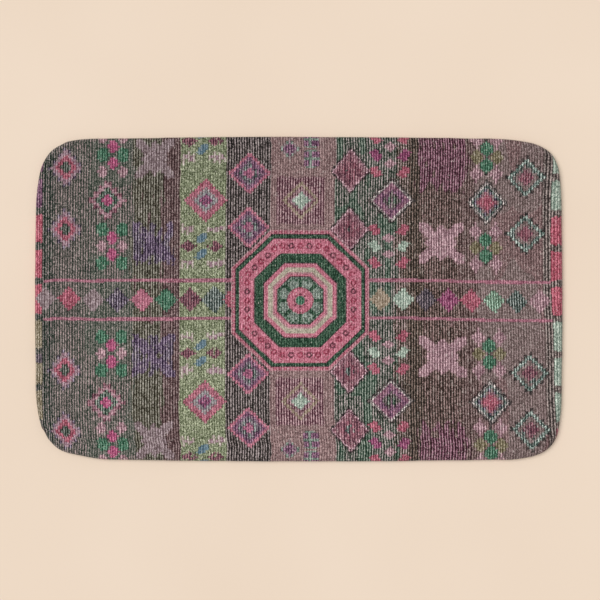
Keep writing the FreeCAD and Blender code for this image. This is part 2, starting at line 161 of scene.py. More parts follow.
def chart(u, v):
    """The yarn at each point of the cloth. u and v count threads from the
    middle of the mat, u along X and v along Y."""
    col = np.floor(u).astype(np.int64)
    uq = col + 0.5
    odd = (col & 1).astype(bool)
    jit = (hash01(col, 0, 5) - 0.5) * 0.5      # a thread stops early or late
    row = np.floor(v / 0.86).astype(np.int64)
    check = ((col + row) & 1).astype(bool)
    av = np.abs(v)
    yarn = np.full(u.shape, NAMES.index("taupe"))

    def put(mask, name):
        yarn[mask] = NAMES.index(name)

    # bands along Y, with threads of one running into the next
    wob = (smooth(u, v, 1.0, 5.5, 3) - 0.5)
    soft = uq + wob * 3.4
    big = smooth(u, v, 10, 13, 11)
    put(u < -94, "edge")
    put(soft >= -94, "taupewarm")
    put(soft >= -86, "taupe")
    put((soft >= -81) & (big > 0.42), "taupegrn")
    put(soft >= -63.6, "olive")
    put(soft >= -52.4, "maroon")
    put(u >= -45.6, "sage")
    put(u >= -27.8, "char")
    put(u >= -10.6, "mauve")
    put(u >= 14.5, "green")
    put((u >= 14.5) & (smooth(u, v, 2.7, 15, 21) > 0.60), "greenfull")
    put(soft >= 38.2, "bark")
    put(soft >= 42.3, "umber")
    put(soft >= 48.6, "brown")
    put(soft >= 63.4, "brownred")
    put(soft >= 69.6, "dusk")
    put((soft >= 69.6) & (smooth(u, v, 6, 23, 8) > 0.5), "duskred")
    put(u >= 95.2, "stripe")
    put((soft < 64) & (soft >= 48) & (smooth(u, v, 1, 8.5, 31) > 0.88), "duskred")
    put((u < -77) & (soft >= -94) & (smooth(u, v, 1, 11.6, 32) > 0.90), "edge")
    put((uq > -63.6) & (uq < -52.4) & (smooth(u, v, 1, 8, 33) > 0.90), "maroon")
    # two plum patches where the weft was changed
    edge = smooth(u, v, 1.0, 500, 41) * 5
    for low, high in ((46.2 - 5 + edge, 90), (-90, -46.2 - edge)):
        m = (soft > 46.5) & (soft < 65) & (v > low) & (v < high)
        put(m & (smooth(u, v, 1.1, 3.5, 42) > 0.22), "plum")

    def loz(cu, cv, a, b):
        return np.abs(uq - cu) / a + np.abs(v - cv + jit * 0.5) / b

    def trim(cu, cv, a, b, pale, dark, rows):
        """A lozenge's edge: a pale line, broken by the threads, between dark
        ones. It is wider where rows is 2."""
        r = np.abs(u - cu) / a + np.abs(v - cv) / b
        put((r < 1.14) & (odd | (r < 1.06)), dark)
        put((r < np.where(odd, 1.03, 0.98)) & (r >= (0.86 if rows == 2 else 0.88)), pale)
        return r

    def dot(cu, cv, a, b, name):
        put(((uq - cu) / a) ** 2 + ((v - cv) / (b + np.where(odd, 0.35, 0.0))) ** 2 < 1, name)

    def bud(cu, cv, a, b, name):
        r = np.abs(uq - cu) / a + np.abs(v - cv) / (b + np.where(odd, 0.55, 0.0))
        s = np.maximum(np.abs(uq - cu) / (a * 0.60), np.abs(v - cv) / (b * 0.52))
        put((r < 1) | (s < 1), name)

    # edge strips: blocks of 11 threads, 2.6 apart
    for side, names in ((-1, ("khaki", "khaki", "khaki", "ruby", "ruby", "ruby", "purple")),
                        (1, ("mint", "mint", "mint", "ruby", "ruby", "ruby", "mint"))):
        m = (uq < -98.8) if side < 0 else (uq > 98.4)
        put(m, "edge" if side < 0 else "stripe")
        for k, name in enumerate(names):
            e = (hash01(col, k, 51) - 0.5) * 0.9
            put(m & (np.abs(v - (k - 3) * 13.65) < 5.5 + e), name)
        put(m & (np.abs(v - 4 * 13.65) < 5.3), "purple" if side < 0 else "mint")
        put(m & (np.abs(v + 4 * 13.65) < 5.3), "dark" if side < 0 else "crimson")
    put((uq < -98.8) & (np.abs(v + 23.0) < 1.7), "navy")

    # two lines across, on each side of the row of lozenges
    across = ((u > -98.6) & (u < -25.6)) | ((u > 26.6) & (u < 98.0))
    for cv in (7.45, -7.4):
        lean = np.where(u < -73, (u + 73) * 0.022, 0)
        put(across & (np.abs(v - cv - lean) < 0.60), "line")

    # lozenges in rows, alike above and below the middle
    for s in (1, -1):
        for near, c_left, c_char, c_green, c_right in ((1, 27.2, 28.4, 27.6, 27.1), (0, 51.0, 49.3, 50.4, 48.9)):
            cv = s * c_left - 0.45
            r = loz(-89.9, cv, 6.0, 7.2)
            put((r < 1.19) & odd, "ink")
            put(r < 1.0, "lilac")
            put(r < 0.72, "crimson")
            put((r < 0.50) & odd, "brick")
            put(r < 0.38, "pinegrey")
            cv = s * c_char - 0.45
            r = loz(-18.9, cv, 8.3, 8.2)
            put(r < 1.0, "pink")
            put(r < 0.82, "purple")
            put((r < 0.62) & (smooth(u, v, 1, 2.6, 61) > 0.35), "slate")
            put((r < 0.48) & odd, "tealdark")
            put(r < 0.29, "berry")
            cv = s * c_green - 0.45
            r = loz(20.2, cv, 7.3, 8.4)
            edge_r = trim(20.2, cv, 7.3, 8.4, "rosedot", "dark", 1)
            put(edge_r < 0.88, "rosewood")
            put((r < 0.86) & (smooth(u, v, 0.9, 2.4, 65) > 0.62), "wine")
            put(r < 0.58, "wine")
            put((r < 0.52) & odd, "brick")
            put((r < 0.28) & (smooth(u, v, 1, 3, 62) > 0.66), "tealdark")
            cv = s * c_right - 0.75
            r = loz(89.0, cv, 7.1, 7.5)
            put((r < 1.17) & (r > 0.9) & odd, "dark")
            put(r < 1.0, "mintdot")
            put((r > 0.94) & (r < 1.0) & ~odd, "teal")
            put(r < 0.83, "tealdark")
            put(r < 0.74, "dusk")
            put((r < 0.74) & (smooth(u, v, 0.9, 2.2, 66) > 0.78), "tealdark")
            put(r < 0.46, "wine")
            put((r < 0.38) & odd & (v > 0), "brick")
        cv = s * 39.0 - 0.55
        r = loz(-73.8, cv, 6.8, 7.3)
        put((r < 1.16) & odd, "wine")
        put(r < 1.0, "edging")
        put((r < 1.0) & (r > 0.90) & check, "wine")
        put((r < 0.80) & (r > 0.70) & odd, "wine")
        put(r < 0.70, "greenfull")
        put((r < 0.55) & odd, "tealdark")
        put(r < 0.37, "hotpink")
        r = loz(-35.6, cv, 8.5, 8.4)
        put(r < 1.0, "coral")
        put((r < 0.96) & (r > 0.86) & check, "crimson")
        put(r < 0.60, "greyblue")
        put((r < 0.60) & (r > 0.40) & check, "lilacgrey")
        put(r < 0.34, "magenta")
        put((r < 0.34) & check, "purple")
        r = loz(36.4, cv, 8.4, 8.3)
        edge_r = trim(36.4, cv, 8.4, 8.3, "pale", "dark", 2)
        put(edge_r < 0.86, "heather")
        put((r < 0.84) & (smooth(u, v, 0.9, 2.4, 67) > 0.62), "purple")
        put(r < 0.56, "purple")
        put((r < 0.46) & (smooth(u, v, 1, 3, 63) > 0.25), "char")
        put((r < 0.30) & odd, "greenfull")
        r = loz(74.0, cv, 7.4, 8.1)
        edge_r = trim(74.0, cv, 7.4, 8.3, "pale", "dark", 2)
        put(edge_r < 0.86, "tealdark")
        put(r < 0.72, "dusk")
        put((r < 0.72) & odd, "ink")
        put(r < 0.56, "brick")
        put((r < 0.56) & (smooth(u, v, 0.9, 2.4, 68) > 0.66), "rosewood")
        put(r < 0.42, "crimson")

        # panels in the middle band, with a lozenge in each
        e = (hash01(col, 0, 71) - 0.5) * 0.8
        put((np.abs(u - 1.1) < 9.2) & (np.abs(v - cv + e) < 9.1), "panel")
        r = loz(1.3, cv, 7.3, 7.5)
        put(r < 1.0, "tan")
        put(r < 0.80, "panel")
        put((r < 0.60) & check, "lilac")
        put(r < 0.48, "mint")

        # one small lozenge and two checks beyond each panel
        cv = s * 58.3
        r = loz(-3.5, cv, 3.9, 3.9)
        put(r < 1.0, "lilacgrey")
        put((r < 1.0) & (r > 0.68) & odd, "greyteal")
        put(r < 0.66, "purple")
        for k in (-1, 1):
            du, dv = uq - 4.9, v - (cv + k * 3.7)
            m = np.maximum(np.abs(du), np.abs(dv)) < 3.4
            put(m & (np.abs(du) + np.abs(dv) < 5.4), "greyteal")
            q = m & (np.abs(np.abs(du) - 1.6) < 1.05) & (np.abs(np.abs(dv) - 1.6) < 1.05)
            put(q, "purple")

        # groups of five: four dots about a pair of buds
        for cv, corner, waist in ((20.7, "emerald", "blush"), (55.9, "blush", "emerald")):
            cv = s * cv
            for du in (-3.9, 3.9):
                for k in (-1, 1):
                    (dot if corner == "emerald" else bud)(-71.8 + du, cv + k * 6.5, 2.3, 2.5, corner)
                (dot if waist == "emerald" else bud)(-71.8 + du, cv, 2.3, 2.6, waist)
            for k in (-1, 1):
                bud(-71.8, cv + k * 3.2, 2.5, 2.7, "hotpink")
            # the same on the right, in other colours
            for du in (-4.0, 4.0):
                for k in (-1, 1):
                    bud(73.5 + du, cv + k * 6.4, 2.7, 3.1, "blush")
                dot(73.5 + du, cv, 2.1, 2.4, "moss")
            put((np.abs(uq - 73.5) < 0.6) & (np.abs(v - cv) < 7), "dark")
            for k in (-1, 1):
                dot(73.5, cv + k * 3.1, 2.3, 2.6, "emerald")
            # and two columns of lozenges with small dots between them
            for k, name in ((-1, "crimson"), (0, "mint" if cv * s < 40 else "magenta"), (1, "crimson")):
                for cu, turn in ((29.9, 1), (40.9, -1)):
                    du, dv = uq - cu, v - (cv + k * 6.4)
                    r = np.abs(du) / 2.75 + np.abs(dv + turn * du * 0.35) / 2.5
                    put(r < 1.0, name)
                    put((np.abs(du) < 1.1) & (np.abs(dv) < 2.1), name)
            for k in (-1, 1):
                r = np.abs(uq - 35.3) / 2.6 + np.abs(v - (cv + k * 3.2)) / 2.0
                put(r < 1.0, "blush")

        # plain crosses
        for cu, cv, a, b, name in ((-55.7, 21.7, 8.3, 8.4, "ink"), (-55.7, 54.6, 7.4, 7.6, "lilacgrey"),
                                   (55.9, 22.2, 9.3, 8.0, "blush")):
            cv = s * cv
            du, dv = np.abs(uq - cu), np.abs(v - cv + jit)
            arm = (np.abs(du / a - dv / b) < 0.34) & (du < a) & (dv < b)
            hub = (du / (a * 0.72) + dv / (b * 0.92)) < 1.0
            if name == "ink":
                field = (du < 8) & (dv < 8.2 - 2 * hash01(col, 0, 81)) & (smooth(u, v, 1, 3.2, 82) > 0.42)
                put(field, "ink")
                put(arm & (smooth(u, v, 1, 2.4, 83) > 0.34), "indigo")
            else:
                put((arm | hub), name)

        # ticks, bars and small lozenges down the sage band
        for cv in (20.7, 61.2):
            for k in (-1, 1):
                for cu in (-42.3, -31.8):
                    n = np.abs(np.round(uq - cu))
                    tall = 0.9 + 1.5 * hash01(col, int(cv * 10) + k + 3 * s, 88) * (n < 3)
                    d = v - (s * cv + k * 6.6) - (hash01(col, int(cv) + k + 5 * s, 89) - 0.5) * 1.4
                    put((n <= 3) & odd & (np.abs(d) < tall), "white")
                    put((n <= 2) & ~odd & (np.abs(d) < tall * 0.5), "lilac")
                du, dv = uq + 37.2, v - (s * cv + k * 3.1)
                p, q = du * 0.78 + dv * 0.62, -du * 0.62 + dv * 0.78
                put((np.abs(p) / 2.7) ** 2 + (np.abs(q) / 1.45) ** 2 < 1, "blue")
            for cu in (-42.4, -32.0):
                r = np.abs(uq - cu) / 3.3 + np.abs(v - s * cv) / 2.4
                put((r < 1.0) & (smooth(u, v, 1, 1.6, 91) > 0.22), "wine")

    # the row of lozenges along the middle
    for k, name in enumerate(("tealdark", "wine", "emerald", "pink", "ink", "lilacgrey", "crimson", "lilacgrey")):
        put(loz(-32.0 - 9.38 * k, 0, 4.5 if k else 5.2, 4.8 if k else 5.5) < 1.0, name)
    put(loz(-26.0, 0, 2.6, 3.9) < 1.0, "crimson")
    for k, name in enumerate(("tan", "mint", "navy", "magenta", "crimson", "mintgreen", "tealdark", "blush")):
        put(loz(32.2 + 8.78 * k, 0, 4.3, 4.8) < 1.0, name)

    # the octagon: nested rings round a roundel with eight spokes
    ou, ov = u - 1.15, v + 0.4
    au, aw = np.abs(ou), np.abs(ov)
    faces = np.stack([au / 26.4, aw / 27.1, au * 0.02521 + aw * 0.02623])
    d = faces.max(0) * 27.1
    side = faces.argmax(0)
    for lim, name in ((27.25, "rosepale"), (26.3, "rose"), (25.9, "dark"), (25.55, "pine"), (24.35, "dark"), (24.1, "rose"),
                      (18.3, "dark"), (18.0, "pine"), (14.65, "dark"), (14.35, "rose"), (12.75, "cream"),
                      (11.0, "rosepale"), (10.15, "rose"), (9.25, "dark"), (8.85, "greyteal")):
        put(d < lim, name)
    put((d < 26.9) & (d > 26.1) & check, "crimson")
    put((d < 24.0) & (d > 18.4) & (smooth(u, v, 0.55, 0.5, 95) > 0.83), "crimson")
    t = np.where(side == 0, ov, np.where(side == 1, ou, (au - aw) * 0.7071))
    gap = 3.48
    k = np.floor(t / gap + 0.5)
    rr = np.hypot(t - k * gap, d - 21.1)
    reach = 8.2
    ring = (np.abs(t) < reach) & (rr < 1.18) & (rr > 0.56)
    put(ring, "spot")
    put(ring & (k % 2 == 0), "garnet")
    turn = np.arctan2(ov, ou)
    rad = np.hypot(ou, ov)
    wedge = np.abs(((turn / (math.pi / 4) + 0.5) % 1.0) - 0.5) * rad * 0.7854
    put((d < 8.8) & (wedge < 0.62), "pine")
    put((d < 8.8) & (d > 7.6) & check, "pine")
    put(rad < 5.1, "rose")
    put((rad < 5.1) & (rad > 4.5), "crimson")
    put((rad < 2.7) & (rad > 2.0) & (np.cos(8 * turn) > 0.1), "spot")
    put(rad < 1.8, "emerald")
    return yarn


# ------------------------------------------------------------- the outline
END_R, SIDE_R, EASE_R, CORNER_R = 8200.0, 16400.0, 295.0, 59.0
HALF_X, HALF_Y = 432.0, 266.5
BREAKS = [0.0, 1.068, 12.568, 77.381, 88.881, 90.0]


def quarter():
    """Points and outward directions of a quarter of the outline, mm."""
    c1 = np.array([HALF_X - END_R, 0.0])
    c5 = np.array([0.0, HALF_Y - SIDE_R])
    dirn = lambda a: np.array([math.cos(math.radians(a)), math.sin(math.radians(a))])
    c2 = c1 + (END_R - EASE_R) * dirn(BREAKS[1])
    c3 = c2 + (EASE_R - CORNER_R) * dirn(BREAKS[2])
    c4 = c5 + (SIDE_R - EASE_R) * dirn(BREAKS[4])
    pts, ang = [], []
    for c, r, a, b in ((c1, END_R, 0, 1), (c2, EASE_R, 1, 2), (c3, CORNER_R, 2, 3), (c4, EASE_R, 3, 4), (c5, SIDE_R, 4, 5)):
        for t in np.linspace(BREAKS[a], BREAKS[b], 60)[:-1]:
            pts.append(c + r * dirn(t))
            ang.append(t)
    pts.append(np.array([0.0, HALF_Y]))
    ang.append(90.0)
    return np.array(pts), np.array(ang)


QP, QA = quarter()


def loop(inset, counts):
    """Points round the outline, inset from it, in four runs that start at the
    corners: bottom, right, top and left. counts are the steps along X and Y.
    Returns points, outward directions and the direction's angle in degrees."""
    full_p = np.concatenate([QP, (QP * [-1, 1])[::-1][1:], (QP * [-1, -1])[1:], (QP * [1, -1])[::-1][1:]])
    full_a = np.concatenate([QA, 180 - QA[::-1][1:], 180 + QA[1:], 360 - QA[::-1][1:]])
    n = np.stack([np.cos(np.radians(full_a)), np.sin(np.radians(full_a))], 1)
    p = full_p - n * inset
    s = np.concatenate([[0], np.cumsum(np.hypot(*np.diff(p, axis=0).T))])
    total = s[-1]
    at = lambda a: np.interp(a, full_a, s)
    runs = []
    for a0, a1, count in ((225, 315, counts[0]), (315, 405, counts[1]), (45, 135, counts[0]), (135, 225, counts[1])):
        s0 = at(a0)
        s1 = at(a1) if a1 <= 360 else at(a1 - 360) + total
        runs.append((s0 + (s1 - s0) * np.arange(count) / count) % total)
    q = np.concatenate(runs)
    pts = np.stack([np.interp(q, s, p[:, 0]), np.interp(q, s, p[:, 1])], 1)
    ang = np.interp(q, s, full_a)
    return pts, np.stack([np.cos(np.radians(ang)), np.sin(np.radians(ang))], 1), ang, q


def settle(ang):
    """How far the sewn outline strays from its drawing, mm: no two corners of
    a turned and filled mat come out quite alike."""
    lump = lambda a, w: np.exp(-(((ang - a + 180) % 360 - 180) / w) ** 2)
    return (0.8 * lump(135, 26) - 4.9 * lump(224, 30) + 0.6 * lump(60, 22) - 0.2 * lump(315, 20)
            + 5.2 * lump(318, 38) + 3.5 * lump(34, 21) - 2.2 * lump(252, 13) - 1.2 * lump(203, 9)
            + 0.8 * lump(180, 9) + 2.1 * lump(102, 8) - 0.8 * lump(147, 16) - 0.8 * lump(0, 7)
            + 1.4 * lump(13, 7) - 1.5 * lump(261, 8) + 0.9 * lump(281, 7) - 0.7 * lump(90, 6) - 0.9 * lump(199, 7))


def coons(edge, nx, ny):
    """Fills a loop of 2 (nx + ny) points with a grid of (nx + 1) by (ny + 1)."""
    b = edge[:nx + 1]
    r = edge[nx:nx + ny + 1]
    t = edge[nx + ny:2 * nx + ny + 1][::-1]
    l = np.concatenate([edge[2 * nx + ny:], edge[:1]])[::-1]
    u = np.linspace(0, 1, nx + 1)[:, None, None]
    v = np.linspace(0, 1, ny + 1)[None, :, None]
    g = (1 - v) * b[:, None] + v * t[:, None] + (1 - u) * l[None] + u * r[None]
    g -= (1 - u) * (1 - v) * b[0] + u * (1 - v) * b[-1] + (1 - u) * v * t[0] + u * v * t[-1]
    return g


def grid_loop(nx, ny):
    """Indices of the grid's rim, in the order of loop()."""
    idx = np.arange((nx + 1) * (ny + 1)).reshape(nx + 1, ny + 1)
    return idx, np.concatenate([idx[:-1, 0], idx[-1, :-1], idx[::-1, -1][:-1], idx[0, ::-1][:-1]])


def grid_faces(idx, up=True):
    a, b, c, d = idx[:-1, :-1], idx[1:, :-1], idx[1:, 1:], idx[:-1, 1:]
    f = np.stack([a, b, c, d] if up else [a, d, c, b], -1)
    return f.reshape(-1, 4)


def band_faces(upper, lower):
    """Quads between two loops, facing outwards where lower is outside."""
    a, b = upper, np.roll(upper, -1)
    c, d = np.roll(lower, -1), lower
    return np.stack([a, d, c, b], -1)


def make_mesh(name, verts, faces):
    verts = np.ascontiguousarray(verts, np.float32)
    faces = np.ascontiguousarray(faces, np.int32)
    me = bpy.data.meshes.new(name)
    me.vertices.add(len(verts))
    me.vertices.foreach_set("co", verts.ravel())
    n, k = faces.shape
    me.loops.add(n * k)
    me.loops.foreach_set("vertex_index", faces.ravel())
    me.polygons.add(n)
    me.polygons.foreach_set("loop_start", np.arange(0, n * k, k, dtype=np.int32))
    me.polygons.foreach_set("loop_total", np.full(n, k, np.int32))
    me.polygons.foreach_set("use_smooth", np.ones(n, bool))
    me.update(calc_edges=True)
    me.validate()
    ob = bpy.data.objects.new(name, me)
    bpy.context.scene.collection.objects.link(ob)
    return ob


def add_attr(ob, name, kind, values):
    values = np.ascontiguousarray(values, np.float32)
    at = ob.data.attributes.new(name, kind, "POINT")
    at.data.foreach_set({"FLOAT": "value", "FLOAT_VECTOR": "vector", "FLOAT_COLOR": "color"}[kind], values.ravel())


# ----------------------------------------------------------------- materials
class Nodes:
    """A small helper: each call adds a node and gives back its output."""

    def __init__(self, name):
        self.mat = bpy.data.materials.new(name)
        self.mat.use_nodes = True
        self.t = self.mat.node_tree
        self.bsdf = self.t.nodes["Principled BSDF"]

    def link(self, src, dst):
        if hasattr(src, "is_output"):
            self.t.links.new(src, dst)
        else:
            dst.default_value = src

    def node(self, kind, out=0, inputs=None, **props):
        n = self.t.nodes.new(kind)
        for k, v in props.items():
            setattr(n, k, v)
        for k, v in (inputs or {}).items():
            self.link(v, n.inputs[k])
        return n.outputs[out]

    def math(self, op, a, b=0.0, c=0.0, clamp=False):
        return self.node("ShaderNodeMath", 0, {0: a, 1: b, 2: c}, operation=op, use_clamp=clamp)

    def add(self, a, b):
        return self.math("ADD", a, b)

    def mul(self, a, b):
        return self.math("MULTIPLY", a, b)

    def fit(self, x, a, b, c, d):
        return self.node("ShaderNodeMapRange", 0, {0: x, 1: a, 2: b, 3: c, 4: d}, clamp=True)

    def xyz(self, x, y, z=0.0):
        return self.node("ShaderNodeCombineXYZ", 0, {0: x, 1: y, 2: z})

    def noise(self, vec, scale=1.0, detail=2.0, rough=0.5, dims="3D"):
        return self.node("ShaderNodeTexNoise", "Fac" if False else 0,
                         {"Vector": vec, "Scale": scale, "Detail": detail, "Roughness": rough}, noise_dimensions=dims)

    def mix(self, fac, a, b, blend="MIX"):
        n = self.t.nodes.new("ShaderNodeMix")
        n.data_type = "RGBA"
        n.blend_type = blend
        self.link(fac, n.inputs[0])
        self.link(a, n.inputs[6])
        self.link(b, n.inputs[7])
        return n.outputs[2]

    def coords(self, out="Object"):
        return self.node("ShaderNodeTexCoord", out)

    def bump(self, height, strength, distance, normal=None):
        ins = {"Height": height, "Strength": strength, "Distance": distance}
        if normal is not None:
            ins["Normal"] = normal
        return self.node("ShaderNodeBump", 0, ins)

    def set(self, **sockets):
        for k, v in sockets.items():
            self.link(v, self.bsdf.inputs[k.replace("_", " ")])
        return self.mat


def rgb(r, g, b):
    return (*to_linear([r, g, b]), 1.0)


def split(n, vec):
    s = n.t.nodes.new("ShaderNodeSeparateXYZ")
    n.t.links.new(vec, s.inputs[0])
    return s.outputs[0], s.outputs[1], s.outputs[2]


def plush_material():
    """Short microfibre pile with a printed weave: threads along Y, each one
    light and dark by turns, over a finer speckle of single tufts."""
    n = Nodes("plush_print")
    place = n.node("ShaderNodeAttribute", "Vector", attribute_name="print_at", attribute_type="GEOMETRY")
    light = n.node("ShaderNodeAttribute", "Color", attribute_name="yarn_light", attribute_type="GEOMETRY")
    dark = n.node("ShaderNodeAttribute", "Color", attribute_name="yarn_dark", attribute_type="GEOMETRY")
    streak = n.node("ShaderNodeAttribute", "Fac", attribute_name="yarn_streak", attribute_type="GEOMETRY")
    u, v, _ = split(n, place)
    i = n.math("FLOOR", u)
    f = n.math("SUBTRACT", u, i)
    rand = n.node("ShaderNodeTexWhiteNoise", "Value", {"W": i}, noise_dimensions="1D")
    phase = n.add(n.math("SUBTRACT", f, 0.5), n.mul(n.math("SUBTRACT", rand, 0.5), 0.22))
    wave = n.math("MULTIPLY_ADD", n.math("COSINE", n.mul(phase, 2 * math.pi)), 0.5, 0.5)
    far = n.noise(n.xyz(n.mul(i, 17.31), n.mul(v, 0.34), 3.1), 1.0, 1.0)
    near = n.noise(n.xyz(n.mul(i, 9.17), n.mul(v, 1.25), 7.7), 1.0, 1.0)
    along = n.add(n.mul(n.fit(far, 0.28, 0.72, 0, 1), 0.5), n.mul(n.fit(near, 0.28, 0.72, 0, 1), 0.5))
    tuft = n.fit(n.noise(n.xyz(n.mul(u, 3.0), n.mul(v, 1.9), 0.4), 1.0, 2.0, 0.6), 0.28, 0.72, 0, 1)
    fine = n.fit(n.noise(n.xyz(n.mul(u, 5.0), n.mul(v, 4.2), 5.5), 1.0, 2.0, 0.6), 0.28, 0.72, 0, 1)
    w = n.mul(n.mul(streak, n.math("SUBTRACT", n.math("POWER", wave, 1.7), 0.40)), n.math("MULTIPLY_ADD", along, 2.6, 1.00))
    w = n.add(w, n.mul(n.math("SUBTRACT", along, 0.5), n.math("MULTIPLY_ADD", streak, 0.75, 0.55)))
    w = n.add(w, n.mul(n.math("SUBTRACT", tuft, 0.5), n.math("MULTIPLY_ADD", streak, -0.25, 2.45)))
    w = n.add(w, n.mul(n.math("SUBTRACT", fine, 0.5), 1.35))
    w = n.math("MINIMUM", n.math("MAXIMUM", n.add(w, n.math("MULTIPLY_ADD", streak, -0.16, 0.46)), -0.50), 1.95)
    colour = n.mix(w, dark, light)
    colour.node.clamp_factor = False
    lone = n.noise(n.xyz(n.mul(i, 31.7), n.mul(v, 0.21), 40.0), 1.0, 1.0)
    crest = n.mul(n.mul(n.fit(lone, 0.60, 0.70, 0, 0.75), n.fit(near, 0.36, 0.56, 0, 1)), n.mul(streak, wave))
    colour = n.mix(crest, colour, (0.74, 0.70, 0.68, 1.0))
    glint = n.fit(n.noise(n.xyz(n.mul(u, 2.3), n.mul(v, 1.1), 12.0), 1.0, 1.0), 0.64, 0.72, 0, 0.75)
    colour = n.mix(glint, colour, (0.84, 0.80, 0.77, 1.0))
    pit = n.fit(n.noise(n.xyz(n.mul(u, 2.1), n.mul(v, 1.5), 22.0), 1.0, 1.0), 0.64, 0.72, 0, 0.60)
    colour = n.mix(pit, colour, (0.15, 0.15, 0.14, 1.0))
    colour = n.node("ShaderNodeGamma", 0, {"Color": colour, "Gamma": 2.2})
    obj = n.coords()
    pile = n.noise(obj, 1150.0, 3.0, 0.65)
    cord = n.add(n.mul(pile, 0.8), n.mul(w, 0.35))
    nap = n.noise(obj, 34.0, 3.0, 0.55)
    rough = n.fit(n.add(n.mul(pile, 0.6), n.mul(nap, 0.4)), 0.3, 0.7, 0.78, 0.98)
    n.set(Base_Color=colour, Roughness=rough, Normal=n.bump(n.add(cord, n.mul(nap, 0.6)), 0.55, 0.0006))
    n.bsdf.inputs["Sheen Weight"].default_value = 0.10
    n.bsdf.inputs["Sheen Roughness"].default_value = 0.55
    n.bsdf.inputs["Specular IOR Level"].default_value = 0.18
    return n.mat


def cloth_material(name, pale, deep, pitch, bump=0.5, sheen=0.1, spec=0.25, slub=0.5, depth=0.00025):
    """Plain woven cloth: threads over and under, with slubs and soiling."""
    n = Nodes(name)
    obj = n.coords()
    x, y, z = split(n, obj)
    k = 2 * math.pi / pitch
    warp = n.math("SINE", n.mul(x, k))
    weft = n.math("SINE", n.mul(y, k))
    weave = n.math("MULTIPLY_ADD", n.mul(warp, weft), 0.5, 0.5)
    run = n.noise(n.xyz(n.mul(x, 1 / pitch * 0.9), n.mul(y, 18.0), 1.0), 1.0, 2.0)
    cross = n.noise(n.xyz(n.mul(x, 18.0), n.mul(y, 1 / pitch * 0.9), 4.0), 1.0, 2.0)
    slubs = n.fit(n.add(run, cross), 0.7, 1.3, 0, 1)
    cloud = n.noise(obj, 9.0, 4.0, 0.6)
    fac = n.add(n.mul(weave, 0.45), n.add(n.mul(slubs, slub * 0.6), n.mul(cloud, 0.45)))
    colour = n.mix(n.fit(fac, 0.25, 1.05, 0, 1), deep, pale)
    fuzz = n.noise(obj, 2600.0, 2.0, 0.6)
    n.set(Base_Color=colour, Roughness=n.fit(n.add(n.mul(weave, 0.4), n.mul(fuzz, 0.6)), 0.2, 0.8, 0.70, 0.94),
          Normal=n.bump(n.add(n.mul(weave, 0.8), n.add(n.mul(fuzz, 0.35), n.mul(slubs, 0.3))), bump, depth))
    n.bsdf.inputs["Sheen Weight"].default_value = sheen
    n.bsdf.inputs["Specular IOR Level"].default_value = spec
    return n.mat


def dot_material():
    """Soft moulded PVC: milky, a little uneven, with pinholes and scuffs."""
    n = Nodes("soft_pvc")
    obj = n.coords()
    cloud = n.noise(obj, 260.0, 3.0, 0.6)
    scuff = n.fit(n.noise(obj, 1400.0, 3.0, 0.7), 0.52, 0.72, 0, 1)
    hole = n.node("ShaderNodeTexVoronoi", 0, {"Vector": obj, "Scale": 900.0})
    pin = n.fit(hole, 0.05, 0.16, 1, 0)
    base = n.mix(n.fit(cloud, 0.3, 0.7, 0, 1), rgb(196, 192, 183), rgb(222, 218, 209))
    base = n.mix(n.mul(scuff, 0.35), base, rgb(168, 163, 154))
    n.set(Base_Color=base, Roughness=n.fit(n.add(scuff, cloud), 0.3, 1.6, 0.34, 0.66),
          Normal=n.bump(n.math("SUBTRACT", n.mul(cloud, 0.6), n.mul(pin, 0.5)), 0.35, 0.0002))
    n.bsdf.inputs["Subsurface Weight"].default_value = 0.15
    n.bsdf.inputs["Subsurface Radius"].default_value = (0.001, 0.0009, 0.0008)
    return n.mat


def thread_material(name, pale, deep):
    """Two-ply polyester thread: a twist along the stitch and stray fibres."""
    n = Nodes(name)
    twist = n.node("ShaderNodeAttribute", "Fac", attribute_name="twist", attribute_type="GEOMETRY")
    ply = n.math("MULTIPLY_ADD", n.math("SINE", twist), 0.5, 0.5)
    fibre = n.noise(n.coords(), 4200.0, 2.0, 0.6)
    n.set(Base_Color=n.mix(n.add(n.mul(ply, 0.65), n.mul(fibre, 0.35)), deep, pale),
          Roughness=n.fit(fibre, 0.3, 0.7, 0.45, 0.68),
          Normal=n.bump(n.add(ply, n.mul(fibre, 0.3)), 0.6, 0.0001))
    n.bsdf.inputs["Sheen Weight"].default_value = 0.15
    return n.mat


def foam_material():
    """Open-cell memory foam: small round cells of mixed size."""
    n = Nodes("memory_foam")
    obj = n.coords()
    cells = n.node("ShaderNodeTexVoronoi", 0, {"Vector": obj, "Scale": 900.0})
    small = n.node("ShaderNodeTexVoronoi", 0, {"Vector": obj, "Scale": 2100.0})
    cloud = n.noise(obj, 12.0, 3.0)
    pore = n.add(n.mul(cells, 0.7), n.mul(small, 0.3))
    n.set(Base_Color=n.mix(n.fit(n.add(pore, n.mul(cloud, 0.4)), 0.3, 0.9, 0, 1), rgb(214, 204, 176), rgb(236, 229, 206)),
          Roughness=n.fit(pore, 0.1, 0.6, 0.98, 0.82), Normal=n.bump(pore, 0.7, 0.0004))
    return n.mat


# ---------------------------------------------------------------- top cover
NX, NY = 528, 326
ROLL, ROLL_UNDER = 7.2, 4.0
TOP, HEM, BELOW = 12.45, 13.2, 0.6

rim, out, ang, run = loop(ROLL, (NX, NY))
stray = settle(ang)[:, None]
lumpy = (smooth(run, 0 * run, 37, 1, 201) - 0.5)[:, None] * 0.7
rim_at = rim + out * (stray + lumpy)
grid = coons(rim_at, NX, NY)
flat = coons(rim, NX, NY)
gx, gy = grid[..., 0], grid[..., 1]

